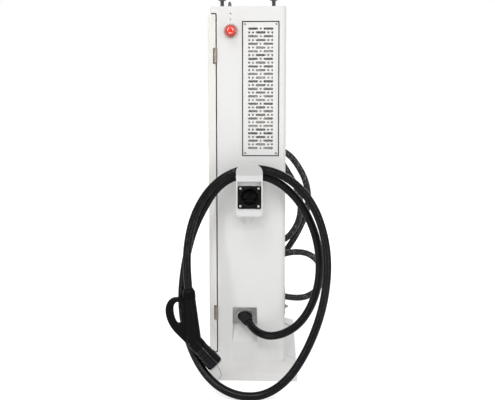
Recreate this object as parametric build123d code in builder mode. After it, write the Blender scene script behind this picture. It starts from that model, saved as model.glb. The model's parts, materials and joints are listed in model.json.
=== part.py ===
from build123d import *
from math import cos, sin, tan, radians, pi
import os

# Slim DC charging post with two guns, in millimetres.
# +Z is up, the origin is on the floor under the middle of the post's box,
# the door faces -X, the rear faces +X and the two cable sides face -Y and +Y.

# ---------------------------------------------------------------- driving dimensions
HALF_WIDTH = 300.0        # post's half width, door hinge side to lock side
DOOR_FACE_X = -175.0      # outer face of the door
DOOR_BACK_X = -145.0      # back of the door's folded edge
FRONT_X = -165.0          # front edge of roof, sill and side panels
JAMB_X = -140.0           # front edge of the side panels beside the door
REAR_X = 137.0            # rear face
TOP_Z = 1520.0            # top of the roof
BODY_Z = 67.0             # where the plinth's slope meets the body
BAND_Z = 38.0             # top of the plinth's vertical band
FLARE = 52.0              # how far the plinth stands out at both sides and the rear
PLINTH_FRONT_X = -172.0
SHEET = 2.0               # cabinet sheet
CORNER_R = 20.0           # rounded rear corners
RETURN = 40.0             # side panels' return on the rear face
FIT_GAP = 0.3             # between loose sheets and profiles that meet

DOOR_Z0 = 106.0
DOOR_Z1 = 1489.0
SILL_TOP_Z = 101.0
HEADER_Z = 1494.0
DOOR_RETURN = 62.0        # width of the door's inward return

HINGE_X = -146.0
HINGE_Y = -303.0
HINGE_ZS = (271.0, 1326.0)
KNUCKLE_R = 6.5
HINGE_LENGTH = 55.0
PIN_R = 3.0

GRILLE_X = (-38.0, 109.0)
GRILLE_Z = (925.0, 1461.5)
GRILLE_GAP = 2.4
GRILLE_ROWS = 33
ROW_PITCH = 14.85
COLUMN_PITCH = 15.33
FIRST_ROW_Z = 1432.4
DOT_R = 4.25
SLOT_LENGTH = 39.4
SLOT_WIDTH = 9.0
BAFFLE_PITCH = 99.0
BAFFLE_FIRST_Z = 940.0

ESTOP_X = -83.0
ESTOP_Z = 1422.0
ESTOP_HEAD_R = 20.0

HOLSTER_X = -5.0
HOLSTER_WIDTH = 104.0
HOLSTER_DEPTH = 120.0
HOLSTER_Z = 696.0
SADDLE_Z = 828.0
SADDLE_DEPTH = 86.0
LIP_Z = 857.0
LIP_LENGTH = 68.0
LIP_LEAN = 40.0
SOCKET_TILT = 13.0
WINDOW_TOP_Z = 834.0
WINDOW_BOTTOM_Z = 705.0
WINDOW_WIDTH = 92.0
SOCKET_BORE_R = 35.0
SOCKET_DEPTH = 42.0
SOCKET_CENTRE_UP = 66.0   # from the window's lower edge, along the inclined plate
CONTACT_SPACING = 34.0

POCKET_X = (-79.0, 22.0)
POCKET_Z = (147.0, 297.5)
POCKET_DEPTH = 47.0
POCKET_FOLD_Z = 211.0
CABLE_R = 16.0

EYEBOLT_XS = (-122.0, 87.0)
EYEBOLT_Y = 240.0

ANCHOR_SPACING_X = 240.0
ANCHOR_SPACING_Y = 530.0
ANCHOR_R = 7.0
FRAME_CENTRE_X = -12.5

LOCK_Y = 225.0
LOCK_Z = 790.0
ROD_Y = 208.0

NOSE_ANGLE = 52.9         # the gun's nose is turned this far from level when its body is upright
NOSE_LENGTH = 127.0
GUN_TAIL = 208.0

# ---------------------------------------------------------------- helpers


def save(builder, name):
    """Label a finished piece and write it to its own STEP file."""
    builder.part.label = name
    export_step(builder.part, f"parts/{name}.step")


def save_mirrored(builder, name):
    """Write the piece's mirror image on the other side of the post."""
    with BuildPart() as other:
        mirror(builder.part, about=Plane.XZ)
    save(other, name)


def out(p, z):
    """A point of a side view: p is the distance out from the right side panel."""
    return (-HALF_WIDTH - p, z)


def box_between(x, y, z, mode=Mode.ADD):
    """A box from its three pairs of limits, for use inside a part."""
    with Locations(((x[0] + x[1]) / 2, (y[0] + y[1]) / 2, (z[0] + z[1]) / 2)):
        Box(x[1] - x[0], y[1] - y[0], z[1] - z[0], mode=mode)


os.makedirs("parts", exist_ok=True)

# ---------------------------------------------------------------- base
BODY_MID_X = (PLINTH_FRONT_X + REAR_X) / 2
FLARE_MID_X = (PLINTH_FRONT_X + REAR_X + FLARE) / 2
PLINTH_SHEET = 3.0
DRAIN_SLOT_Y = 215.0


def plinth_block(inset):
    """The plinth's outer shape, drawn in by an inset."""
    low = (REAR_X + FLARE - PLINTH_FRONT_X - 2 * inset, 2 * (HALF_WIDTH + FLARE - inset))
    high = (REAR_X - PLINTH_FRONT_X - 2 * inset, 2 * (HALF_WIDTH - inset))
    with BuildPart() as block:
        with BuildSketch():
            with Locations((FLARE_MID_X, 0)):
                Rectangle(*low)
        extrude(amount=BAND_Z)
        with BuildSketch(Plane.XY.offset(BAND_Z)):
            with Locations((FLARE_MID_X, 0)):
                Rectangle(*low)
        with BuildSketch(Plane.XY.offset(BODY_Z)):
            with Locations((BODY_MID_X, 0)):
                Rectangle(*high)
        loft()
    return block.part


outer_block = plinth_block(0)
inner_block = plinth_block(PLINTH_SHEET)
with BuildPart() as base_plinth:
    add(outer_block)
    add(inner_block, mode=Mode.SUBTRACT)
    # two drain slots down the rear slope
    with BuildSketch(Plane.XY.offset(30)) as slots:
        with Locations((163, -DRAIN_SLOT_Y), (163, DRAIN_SLOT_Y)):
            SlotOverall(40, 16)
    extrude(slots.sketch, amount=45, mode=Mode.SUBTRACT)
save(base_plinth, "base_plinth")

with BuildPart() as base_frame:
    with BuildSketch():
        with Locations((FRAME_CENTRE_X, 0)):
            Rectangle(275, 570)
            Rectangle(175, 470, mode=Mode.SUBTRACT)
    extrude(amount=6)
    with BuildSketch(Plane.XY.offset(6)):
        with Locations((FRAME_CENTRE_X, 0)):
            Rectangle(275, 570)
            Rectangle(263, 558, mode=Mode.SUBTRACT)
    extrude(amount=58)
    with Locations((FRAME_CENTRE_X, 0, 6)):
        with GridLocations(ANCHOR_SPACING_X, ANCHOR_SPACING_Y, 2, 2):
            Hole(ANCHOR_R)
save(base_frame, "base_frame")

# ---------------------------------------------------------------- cabinet shell
GRILLE_MID_X = (GRILLE_X[0] + GRILLE_X[1]) / 2
GRILLE_MID_Z = (GRILLE_Z[0] + GRILLE_Z[1]) / 2
GRILLE_W = GRILLE_X[1] - GRILLE_X[0]
GRILLE_H = GRILLE_Z[1] - GRILLE_Z[0]


def side_panel(with_estop):
    """One side of the cabinet with its rear return, cut for grille, pocket and holster."""
    with BuildPart() as panel:
        with BuildSketch(Plane.XY.offset(BODY_Z)) as plan:
            with Locations(((FRONT_X + REAR_X) / 2, -HALF_WIDTH + RETURN / 2)):
                Rectangle(REAR_X - FRONT_X, RETURN)
            corner = plan.vertices().sort_by(Axis.X)[-2:].sort_by(Axis.Y)[0]
            fillet(corner, CORNER_R)
            with BuildSketch(mode=Mode.PRIVATE) as inside:
                with Locations(((FRONT_X + REAR_X) / 2 - SHEET, -HALF_WIDTH + RETURN / 2 + SHEET)):
                    Rectangle(REAR_X - FRONT_X, RETURN)
                inner_corner = inside.vertices().sort_by(Axis.X)[-2:].sort_by(Axis.Y)[0]
                fillet(inner_corner, CORNER_R - SHEET)
            add(inside.sketch, mode=Mode.SUBTRACT)
        extrude(amount=TOP_Z - BODY_Z)
        # rebated flange that the grille lies on
        box_between(
            (GRILLE_X[0] - 10, GRILLE_X[1] + 10),
            (-HALF_WIDTH + SHEET, -HALF_WIDTH + 2 * SHEET),
            (GRILLE_Z[0] - 10, GRILLE_Z[1] + 10),
        )
        box_between(
            (GRILLE_X[0] + 8, GRILLE_X[1] - 8),
            (-HALF_WIDTH - 1, -HALF_WIDTH + 10),
            (GRILLE_Z[0] + 8, GRILLE_Z[1] - 8),
            mode=Mode.SUBTRACT,
        )
        box_between(GRILLE_X, (-HALF_WIDTH - 1, -HALF_WIDTH + SHEET), GRILLE_Z, mode=Mode.SUBTRACT)
        # cable pocket
        box_between(
            (POCKET_X[0] - 2.2, POCKET_X[1] + 2.2),
            (-HALF_WIDTH - 1, -HALF_WIDTH + SHEET + 1),
            (POCKET_Z[0] - 2.2, POCKET_Z[1] + 2.2),
            mode=Mode.SUBTRACT,
        )
        # door notch with a rounded inner corner at the top
        with BuildSketch(Plane.XZ.offset(HALF_WIDTH - RETURN - 1)) as notch:
            with Locations(((FRONT_X - 5 + JAMB_X) / 2, (SILL_TOP_Z + HEADER_Z) / 2)):
                Rectangle(JAMB_X - FRONT_X + 5, HEADER_Z - SILL_TOP_Z)
            fillet(notch.vertices().sort_by(Axis.X)[-2:], 6)
        extrude(amount=RETURN + 2, mode=Mode.SUBTRACT)
        with BuildSketch(Plane.XZ.offset(HALF_WIDTH - SHEET - 1)):
            with Locations((ESTOP_X - 1.7, 1493)):
                Circle(2.5)
            with Locations((ESTOP_X - 1.7, 1469)):
                Circle(1.75)
            if with_estop:
                with Locations((ESTOP_X, ESTOP_Z)):
                    Circle(11)
        extrude(amount=SHEET + 2, mode=Mode.SUBTRACT)
        if with_estop:
            for hinge_z in HINGE_ZS:
                box_between(
                    (JAMB_X - 1, JAMB_X + 1.5),
                    (-HALF_WIDTH - 1, -HALF_WIDTH + SHEET + 1),
                    (hinge_z - HINGE_LENGTH / 2 - 1, hinge_z + HINGE_LENGTH / 2 + 1),
                    mode=Mode.SUBTRACT,
                )
    return panel


save(side_panel(True), "side_panel_right")
save_mirrored(side_panel(False), "side_panel_left")

with BuildPart() as roof_cover:
    box_between((FRONT_X, REAR_X - 2.5), (-297.7, 297.7), (TOP_Z - SHEET, TOP_Z))
    box_between((FRONT_X, FRONT_X + SHEET), (-297.7, 297.7), (HEADER_Z, TOP_Z - SHEET))
    fillet(roof_cover.edges().filter_by(Axis.Z).group_by(Axis.X)[-1], CORNER_R - SHEET + 0.5)
    with Locations((sum(EYEBOLT_XS) / 2, 0, TOP_Z)):
        with GridLocations(EYEBOLT_XS[1] - EYEBOLT_XS[0], 2 * EYEBOLT_Y, 2, 2):
            Hole(8.2)
save(roof_cover, "roof_cover")

FAN_ZS = (1090.0, 1330.0)
FAN_SIZE = 172.0
FAN_X = (96.0, 134.5)
with BuildPart() as rear_panel:
    box_between((REAR_X - SHEET, REAR_X), (-259.5, 259.5), (BODY_Z + 0.3, TOP_Z - SHEET - 0.3))
    with BuildSketch(Plane.YZ.offset(REAR_X - SHEET - 1)):
        for fan_z in FAN_ZS:
            for half in (-1, 1):
                with Locations((half * 42.0, fan_z)):
                    with GridLocations(1, 14, 1, 11):
                        SlotOverall(74, 6)
    extrude(amount=SHEET + 2, mode=Mode.SUBTRACT)
    with Locations(Plane.YZ.offset(REAR_X)):
        with Locations((-200, 272)):
            Hole(4.2)
save(rear_panel, "rear_panel")

OPENING_HALF = 240.0
OPENING_Z = (140.0, 1440.0)
FRAME_X = (-139.0, -136.0)
with BuildPart() as front_frame:
    box_between(FRAME_X, (-297.5, 297.5), (BODY_Z + 0.3, 1490))
    box_between(
        (FRAME_X[0] - 1, FRAME_X[1] + 1), (-OPENING_HALF, OPENING_HALF), OPENING_Z, mode=Mode.SUBTRACT
    )
    # sill below the door, an angle of its own that stands just in front of the frame
    box_between((FRONT_X, FRAME_X[0] - FIT_GAP), (-297.5, 297.5), (BODY_Z + 0.3, BODY_Z + 2.3))
    box_between((FRONT_X, FRONT_X + SHEET), (-297.5, 297.5), (BODY_Z + 2.3, SILL_TOP_Z))
save(front_frame, "front_frame")

# ---------------------------------------------------------------- lifting eyebolts
THREAD_R = 8.0
THREAD_SHOWN = 30.0       # threaded shank left standing above the roof
THREAD_PITCH = 3.0
EYE_R = 24.5
EYE_BAR_R = 7.0
shank_outline = [(0, TOP_Z - 22), (THREAD_R, TOP_Z - 22), (THREAD_R, TOP_Z + 1)]
for turn in range(int((THREAD_SHOWN - 3) / THREAD_PITCH)):
    turn_z = TOP_Z + 1 + turn * THREAD_PITCH
    shank_outline += [(THREAD_R - 1.2, turn_z + THREAD_PITCH / 2), (THREAD_R, turn_z + THREAD_PITCH)]
shank_outline += [(THREAD_R, TOP_Z + THREAD_SHOWN), (15, TOP_Z + THREAD_SHOWN)]
shank_outline += [(15, TOP_Z + THREAD_SHOWN + 3)]
shank_outline += [(9, TOP_Z + THREAD_SHOWN + 9), (0, TOP_Z + THREAD_SHOWN + 9)]
with BuildPart() as eye_shank:
    with BuildSketch(Plane.XZ) as shank_half:
        with BuildLine():
            Polyline(*shank_outline, close=True)
        make_face()
    revolve(shank_half.sketch, axis=Axis.Z)
with BuildPart() as lifting_eyebolts:
    for bolt_x in EYEBOLT_XS:
        for bolt_y in (-EYEBOLT_Y, EYEBOLT_Y):
            with Locations((bolt_x, bolt_y, 0)):
                add(eye_shank.part)
            with Locations(Location((bolt_x, bolt_y, TOP_Z + THREAD_SHOWN + 6 + EYE_R), (0, 90, 0))):
                Torus(EYE_R, EYE_BAR_R)
save(lifting_eyebolts, "lifting_eyebolts")

# ---------------------------------------------------------------- air grilles
with BuildPart() as grille_right:
    box_between(
        (GRILLE_X[0] + GRILLE_GAP, GRILLE_X[1] - GRILLE_GAP),
        (-HALF_WIDTH, -HALF_WIDTH + SHEET),
        (GRILLE_Z[0] + GRILLE_GAP, GRILLE_Z[1] - GRILLE_GAP),
    )
    with BuildSketch(Plane.XZ.offset(HALF_WIDTH - SHEET - 1)):
        for row in range(GRILLE_ROWS):
            row_z = FIRST_ROW_Z - row * ROW_PITCH
            slots = (-2, 2) if row % 2 == 0 else (0,)
            dots = (0,) if row % 2 == 0 else (-3, -2, 2, 3)
            for column in slots:
                with Locations((GRILLE_MID_X + column * COLUMN_PITCH, row_z)):
                    SlotOverall(SLOT_LENGTH, SLOT_WIDTH)
            for column in dots:
                with Locations((GRILLE_MID_X + column * COLUMN_PITCH, row_z)):
                    Circle(DOT_R)
    extrude(amount=SHEET + 2, mode=Mode.SUBTRACT)
save(grille_right, "grille_right")
save_mirrored(grille_right, "grille_left")

SCREW_INSET = 11.3
with BuildPart() as grille_screws:
    for side in (-1, 1):
        screw_plane = Plane.XZ.offset(-side * HALF_WIDTH)
        with BuildSketch(screw_plane):
            with Locations((GRILLE_MID_X, GRILLE_MID_Z)):
                with GridLocations(GRILLE_W - 2 * SCREW_INSET, GRILLE_H - 2 * SCREW_INSET, 2, 2):
                    Circle(4.0)
        extrude(amount=-side * 1.8)
save(grille_screws, "grille_screws")

with BuildPart() as rain_baffles:
    for side in (-1, 1):
        near = side * (HALF_WIDTH - 4)
        far = side * (HALF_WIDTH - 68)
        limits = (min(near, far), max(near, far))
        for cheek_x in (GRILLE_X[0] + 6, GRILLE_X[1] - 8):
            box_between((cheek_x, cheek_x + 2), limits, (GRILLE_Z[0] - 2, GRILLE_Z[1] + 2))
        for step in range(6):
            low_z = BAFFLE_FIRST_Z + step * BAFFLE_PITCH
            high_z = min(low_z + 55, GRILLE_Z[1])
            with BuildSketch(Plane.YZ.offset(GRILLE_X[0] + 8)):
                with BuildLine():
                    Polyline(
                        (side * 293.0, low_z),
                        (side * (293.0 - high_z + low_z), high_z),
                        (side * (291.0 - high_z + low_z), high_z),
                        (side * 291.0, low_z),
                        close=True,
                    )
                make_face()
            extrude(amount=GRILLE_W - 16)
save(rain_baffles, "rain_baffles")

with BuildPart() as filter_mats:
    for side in (-1, 1):
        limits = sorted((side * 232.0, side * 222.0))
        box_between((GRILLE_X[0] + 2, GRILLE_X[1] - 2), limits, (GRILLE_Z[0] - 6, GRILLE_Z[1] + 6))
save(filter_mats, "filter_mats")

# ---------------------------------------------------------------- emergency stop
ESTOP_PLANE = Plane(origin=(ESTOP_X, -HALF_WIDTH, ESTOP_Z), x_dir=(1, 0, 0), z_dir=(0, -1, 0))


def turned(profile, plane):
    """A solid of revolution from (radius, height) points about a plane's normal."""
    with BuildPart() as piece:
        with BuildSketch(Plane(plane.origin, x_dir=plane.x_dir, z_dir=-plane.y_dir)):
            with BuildLine():
                Polyline(*profile, close=True)
            make_face()
        revolve(axis=Axis(plane.origin, plane.z_dir))
    return piece


COLLAR_OUTLINE = [
    (10.7, 0),
    (30, 0),
    (30, 3),
    (27, 16.5),
    (25, 18.5),
    (23.5, 18.5),
    (23.5, 5),
    (10.7, 5),
]
STOP_HEAD_OUTLINE = [
    (0, 24),
    (13, 24),
    (13, 27),
    (ESTOP_HEAD_R - 1, 28),
    (ESTOP_HEAD_R, 31),
    (ESTOP_HEAD_R, 38),
    (ESTOP_HEAD_R - 2, 42.5),
    (13, 44.5),
    (0, 45),
]
estop_collar = turned(COLLAR_OUTLINE, ESTOP_PLANE)
save(estop_collar, "estop_collar")
estop_plunger = turned([(0, -26), (9, -26), (9, 24), (0, 24)], ESTOP_PLANE)
save(estop_plunger, "estop_plunger")
estop_head = turned(STOP_HEAD_OUTLINE, ESTOP_PLANE)
save(estop_head, "estop_head")

# ---------------------------------------------------------------- holsters
HOLSTER_XS = (HOLSTER_X - HOLSTER_WIDTH / 2, HOLSTER_X + HOLSTER_WIDTH / 2)
TILT = radians(SOCKET_TILT)
WINDOW_DEPTH = (WINDOW_TOP_Z - WINDOW_BOTTOM_Z) * tan(TILT)
SOCKET_ORIGIN = (
    HOLSTER_X,
    -HALF_WIDTH - HOLSTER_DEPTH + SOCKET_CENTRE_UP * sin(TILT),
    WINDOW_BOTTOM_Z + SOCKET_CENTRE_UP * cos(TILT),
)
SOCKET_PLANE = Plane(origin=SOCKET_ORIGIN, x_dir=(1, 0, 0), z_dir=(0, -cos(TILT), sin(TILT)))


def side_profile(points, x_limits, mode=Mode.ADD):
    """A profile drawn as (distance out, height) points and pulled from one X to another."""
    with BuildSketch(Plane.YZ.offset(x_limits[0])) as profile:
        with BuildLine():
            Polyline(*[out(*point) for point in points], close=True)
        make_face()
    extrude(profile.sketch, amount=x_limits[1] - x_limits[0], mode=mode)


with BuildPart() as holster_right:
    side_profile(
        [
            (0, HOLSTER_Z),
            (HOLSTER_DEPTH, HOLSTER_Z),
            (HOLSTER_DEPTH, LIP_Z),
            (HOLSTER_DEPTH - 3, LIP_Z),
            (HOLSTER_DEPTH - 3, SADDLE_Z + 10),
            (SADDLE_DEPTH + 3, SADDLE_Z + 10),
            (SADDLE_DEPTH, SADDLE_Z),
            (0, SADDLE_Z),
        ],
        HOLSTER_XS,
    )
    bottom_edges = holster_right.edges().filter_by(Axis.Y).group_by(Axis.Z)[0]
    fillet(bottom_edges, 16)
    # window that the inclined socket plate closes
    side_profile(
        [
            (HOLSTER_DEPTH + 1, WINDOW_BOTTOM_Z - 4),
            (HOLSTER_DEPTH + 1, WINDOW_TOP_Z),
            (HOLSTER_DEPTH - WINDOW_DEPTH, WINDOW_TOP_Z),
            (HOLSTER_DEPTH, WINDOW_BOTTOM_Z),
        ],
        (HOLSTER_X - WINDOW_WIDTH / 2 - 1, HOLSTER_X + WINDOW_WIDTH / 2 + 1),
        mode=Mode.SUBTRACT,
    )
    # hollow behind the plate, open to the wall
    side_profile(
        [
            (-1, HOLSTER_Z + 3),
            (HOLSTER_DEPTH - 5, HOLSTER_Z + 3),
            (HOLSTER_DEPTH - WINDOW_DEPTH - 3.5, SADDLE_Z - 3),
            (-1, SADDLE_Z - 3),
        ],
        (HOLSTER_XS[0] + 16, HOLSTER_XS[1] - 16),
        mode=Mode.SUBTRACT,
    )
    side_profile(
        [
            (-1, HOLSTER_Z + 18),
            (HOLSTER_DEPTH - 9, HOLSTER_Z + 18),
            (HOLSTER_DEPTH - WINDOW_DEPTH - 3.5, SADDLE_Z - 3),
            (-1, SADDLE_Z - 3),
        ],
        (HOLSTER_XS[0] + 3, HOLSTER_XS[1] - 3),
        mode=Mode.SUBTRACT,
    )
    with Locations(SOCKET_PLANE):
        Cylinder(39, 30, mode=Mode.SUBTRACT)
    # lip that leans outward with a round top
    lean = radians(LIP_LEAN)
    lip_plane = Plane(
        origin=(HOLSTER_X, -HALF_WIDTH - HOLSTER_DEPTH, LIP_Z),
        x_dir=(1, 0, 0),
        z_dir=(0, -cos(lean), -sin(lean)),
    )
    with BuildSketch(lip_plane):
        straight = LIP_LENGTH - HOLSTER_WIDTH / 2
        with Locations((0, straight / 2)):
            Rectangle(HOLSTER_WIDTH, straight)
        with Locations((0, straight)):
            Circle(HOLSTER_WIDTH / 2)
        with Locations((0, -HOLSTER_WIDTH / 2)):
            Rectangle(HOLSTER_WIDTH + 2, HOLSTER_WIDTH, mode=Mode.SUBTRACT)
    extrude(amount=-3)
    with Locations(Location((HOLSTER_X, -HALF_WIDTH - HOLSTER_DEPTH + 1.5, LIP_Z), (0, 90, 0))):
        Cylinder(1.5, HOLSTER_WIDTH)
    # gusset under the holster
    with BuildSketch(Plane.XZ.offset(HALF_WIDTH)):
        with BuildLine():
            Polyline((-46, HOLSTER_Z + 1), (28, HOLSTER_Z + 1), (-9, HOLSTER_Z - 47), close=True)
        make_face()
    extrude(amount=62)
save(holster_right, "holster_right")
save_mirrored(holster_right, "holster_left")

FLANGE_THICK = 5.0
with BuildPart() as dummy_socket_right:
    with BuildSketch(SOCKET_PLANE):
        RectangleRounded(92, 90, 6)
        Circle(SOCKET_BORE_R, mode=Mode.SUBTRACT)
    extrude(amount=FLANGE_THICK)
    with BuildSketch(SOCKET_PLANE):
        Circle(SOCKET_BORE_R + 3)
        Circle(SOCKET_BORE_R, mode=Mode.SUBTRACT)
    extrude(amount=-SOCKET_DEPTH)
    with BuildSketch(SOCKET_PLANE.offset(-SOCKET_DEPTH)):
        Circle(SOCKET_BORE_R + 3)
    extrude(amount=4)
    with BuildSketch(SOCKET_PLANE.offset(-SOCKET_DEPTH + 4)):
        with Locations((-CONTACT_SPACING / 2, 6), (CONTACT_SPACING / 2, 6)):
            Circle(8.5)
        with Locations((0, -14), (-12, -12), (12, -12)):
            Circle(4.5)
    extrude(amount=26)
save(dummy_socket_right, "dummy_socket_right")
save_mirrored(dummy_socket_right, "dummy_socket_left")

# ---------------------------------------------------------------- cable pockets and glands
POCKET_WALL = 2.0
with BuildPart() as cable_pocket_right:
    side_profile(
        [
            (0, POCKET_Z[1] + POCKET_WALL),
            (-POCKET_DEPTH - 2.3, POCKET_FOLD_Z),
            (0, POCKET_Z[0] - POCKET_WALL),
        ],
        (POCKET_X[0] - POCKET_WALL, POCKET_X[1] + POCKET_WALL),
    )
    side_profile(
        [
            (1, POCKET_Z[1] + 1.84),
            (0, POCKET_Z[1]),
            (-POCKET_DEPTH, POCKET_FOLD_Z),
            (0, POCKET_Z[0]),
            (1, POCKET_Z[0] - 1.36),
        ],
        POCKET_X,
        mode=Mode.SUBTRACT,
    )
save(cable_pocket_right, "cable_pocket_right")
save_mirrored(cable_pocket_right, "cable_pocket_left")

PLATE_LENGTH = ((POCKET_Z[1] - POCKET_FOLD_Z) ** 2 + POCKET_DEPTH**2) ** 0.5
GLAND_OUT = (POCKET_Z[1] - POCKET_FOLD_Z) / PLATE_LENGTH
GLAND_DOWN = POCKET_DEPTH / PLATE_LENGTH
GLAND_MID_Z = (POCKET_Z[1] + POCKET_FOLD_Z) / 2
GLAND_PLANE = Plane(
    origin=((POCKET_X[0] + POCKET_X[1]) / 2, -HALF_WIDTH + POCKET_DEPTH / 2, GLAND_MID_Z),
    x_dir=(1, 0, 0),
    z_dir=(0, -GLAND_OUT, -GLAND_DOWN),
)
PLATE_THICK = 3.0
RING_THICK = 5.0
both_gland_planes = (
    GLAND_PLANE,
    Plane(
        origin=(GLAND_PLANE.origin.X, -GLAND_PLANE.origin.Y, GLAND_PLANE.origin.Z),
        x_dir=(-1, 0, 0),
        z_dir=(0, GLAND_OUT, -GLAND_DOWN),
    ),
)

with BuildPart() as gland_plates:
    for plane in both_gland_planes:
        with BuildSketch(plane):
            RectangleRounded(97, PLATE_LENGTH - 8, 4)
        extrude(amount=PLATE_THICK)
save(gland_plates, "gland_plates")

with BuildPart() as gland_rings:
    for plane in both_gland_planes:
        with BuildSketch(plane.offset(PLATE_THICK)):
            Circle(40)
            Circle(31, mode=Mode.SUBTRACT)
        extrude(amount=RING_THICK)
save(gland_rings, "gland_rings")

# each boot has a flange and a dome on its plate, and a stepped neck that leans to the rear
BOOT_LEAN = radians(28)
BOOT_DOME_R = 25.0
FLANGE_TOP = PLATE_THICK + 6
NECK_LENGTH = 34.0
NECK_AXIS = (
    sin(BOOT_LEAN),
    -GLAND_OUT * cos(BOOT_LEAN),
    -GLAND_DOWN * cos(BOOT_LEAN),
)
NECK_PLANE = Plane(
    origin=GLAND_PLANE.origin + GLAND_PLANE.z_dir * FLANGE_TOP,
    x_dir=(cos(BOOT_LEAN), GLAND_OUT * sin(BOOT_LEAN), GLAND_DOWN * sin(BOOT_LEAN)),
    z_dir=NECK_AXIS,
)
dome_outline = [(0, PLATE_THICK), (30, PLATE_THICK), (30, FLANGE_TOP - 1), (29, FLANGE_TOP)]
for step in range(7):
    angle = radians(15 * step)
    dome_outline.append((BOOT_DOME_R * cos(angle), FLANGE_TOP + BOOT_DOME_R * sin(angle)))
dome_outline[-1] = (0, FLANGE_TOP + BOOT_DOME_R)
NECK_OUTLINE = [
    (0, 0),
    (24, 0),
    (23.5, 14),
    (22, 15),
    (22, 23),
    (20.5, 24),
    (20.5, 32),
    (19.5, NECK_LENGTH),
    (0, NECK_LENGTH),
]
with BuildPart() as gland_boot_right:
    add(turned(dome_outline, GLAND_PLANE).part)
    add(turned(NECK_OUTLINE, NECK_PLANE).part)
    with BuildSketch(GLAND_PLANE.offset(PLATE_THICK)) as plate_face:
        Rectangle(150, 150)
    extrude(plate_face.sketch, amount=-60, mode=Mode.SUBTRACT)
save(gland_boot_right, "gland_boot_right")
save_mirrored(gland_boot_right, "gland_boot_left")

SOCKET_SCREW_X = 71.0
SOCKET_SCREW_Z = 70.0
with BuildPart() as trim_screws:
    for side in (-1, 1):
        face = Plane(
            origin=(SOCKET_ORIGIN[0], -side * SOCKET_ORIGIN[1], SOCKET_ORIGIN[2]),
            x_dir=(-side, 0, 0),
            z_dir=(0, side * cos(TILT), sin(TILT)),
        )
        with BuildSketch(face.offset(FLANGE_THICK)):
            with GridLocations(SOCKET_SCREW_X, SOCKET_SCREW_Z, 2, 2):
                Circle(4.6)
        extrude(amount=2.6)
    for plane in both_gland_planes:
        with BuildSketch(plane.offset(PLATE_THICK)):
            with GridLocations(90, 1, 2, 1):
                Circle(3.6)
        extrude(amount=2.6)
save(trim_screws, "trim_screws")

# ---------------------------------------------------------------- door
DOOR_MID_Z = (DOOR_Z0 + DOOR_Z1) / 2
SCREEN_Z = 1180.0
SCREEN_W = 262.0
SCREEN_H = 176.0
with BuildPart() as door_panel:
    with BuildSketch(Plane.YZ.offset(DOOR_FACE_X)):
        with Locations((0, DOOR_MID_Z)):
            Rectangle(2 * HALF_WIDTH, DOOR_Z1 - DOOR_Z0)
    extrude(amount=DOOR_BACK_X - DOOR_FACE_X)
    fillet(door_panel.faces().sort_by(Axis.X)[0].edges(), 2.0)
    box_between(
        (DOOR_FACE_X + SHEET, DOOR_BACK_X - SHEET),
        (-HALF_WIDTH + SHEET, HALF_WIDTH - SHEET),
        (DOOR_Z0 + SHEET, DOOR_Z1 - SHEET),
        mode=Mode.SUBTRACT,
    )
    box_between(
        (DOOR_BACK_X - SHEET - 1, DOOR_BACK_X + 1),
        (-HALF_WIDTH + DOOR_RETURN, HALF_WIDTH - DOOR_RETURN),
        (DOOR_Z0 + 24, DOOR_Z1 - 39),
        mode=Mode.SUBTRACT,
    )
    box_between(
        (DOOR_FACE_X - 1, DOOR_FACE_X + SHEET + 1),
        (-SCREEN_W / 2 + 8, SCREEN_W / 2 - 8),
        (SCREEN_Z - SCREEN_H / 2 + 8, SCREEN_Z + SCREEN_H / 2 - 8),
        mode=Mode.SUBTRACT,
    )
    with BuildSketch(Plane.YZ.offset(DOOR_FACE_X - 1)):
        with Locations((LOCK_Y, LOCK_Z)):
            Circle(8)
    extrude(amount=SHEET + 2, mode=Mode.SUBTRACT)
    # holes that the lock rods slide through
    box_between((-159, -152), (ROD_Y - 10, ROD_Y + 10), (DOOR_Z0 - 1, DOOR_Z1 + 1), mode=Mode.SUBTRACT)
    # notches round the hinge knuckles
    for hinge_z in HINGE_ZS:
        box_between(
            (-155, DOOR_BACK_X + 1),
            (-HALF_WIDTH - 1, -HALF_WIDTH + 5),
            (hinge_z - HINGE_LENGTH / 2 - 3.5, hinge_z + HINGE_LENGTH / 2 + 3.5),
            mode=Mode.SUBTRACT,
        )
save(door_panel, "door_panel")

SEAL_X = (DOOR_BACK_X, -139.4)
with BuildPart() as door_seal:
    box_between(SEAL_X, (-256, 256), (124, 1456))
    box_between((SEAL_X[0] - 1, SEAL_X[1] + 1), (-246, 246), (134, 1446), mode=Mode.SUBTRACT)
save(door_seal, "door_seal")

with BuildPart() as screen_bezel:
    box_between(
        (DOOR_FACE_X - 2.5, DOOR_FACE_X),
        (-SCREEN_W / 2, SCREEN_W / 2),
        (SCREEN_Z - SCREEN_H / 2, SCREEN_Z + SCREEN_H / 2),
    )
    fillet(screen_bezel.edges().filter_by(Axis.X), 10)
    box_between(
        (DOOR_FACE_X - 3, DOOR_FACE_X + 1),
        (-SCREEN_W / 2 + 16, SCREEN_W / 2 - 16),
        (SCREEN_Z - SCREEN_H / 2 + 16, SCREEN_Z + SCREEN_H / 2 - 16),
        mode=Mode.SUBTRACT,
    )
save(screen_bezel, "screen_bezel")

with BuildPart() as touchscreen:
    box_between(
        (DOOR_FACE_X + 0.2, DOOR_FACE_X + 18),
        (-SCREEN_W / 2 + 9, SCREEN_W / 2 - 9),
        (SCREEN_Z - SCREEN_H / 2 + 9, SCREEN_Z + SCREEN_H / 2 - 9),
    )
save(touchscreen, "touchscreen")

# ---------------------------------------------------------------- hinges


def knuckle(z0, z1, radius=KNUCKLE_R, mode=Mode.ADD):
    """One length of hinge barrel."""
    with Locations((HINGE_X, HINGE_Y, (z0 + z1) / 2)):
        Cylinder(radius, z1 - z0, mode=mode)


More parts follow.
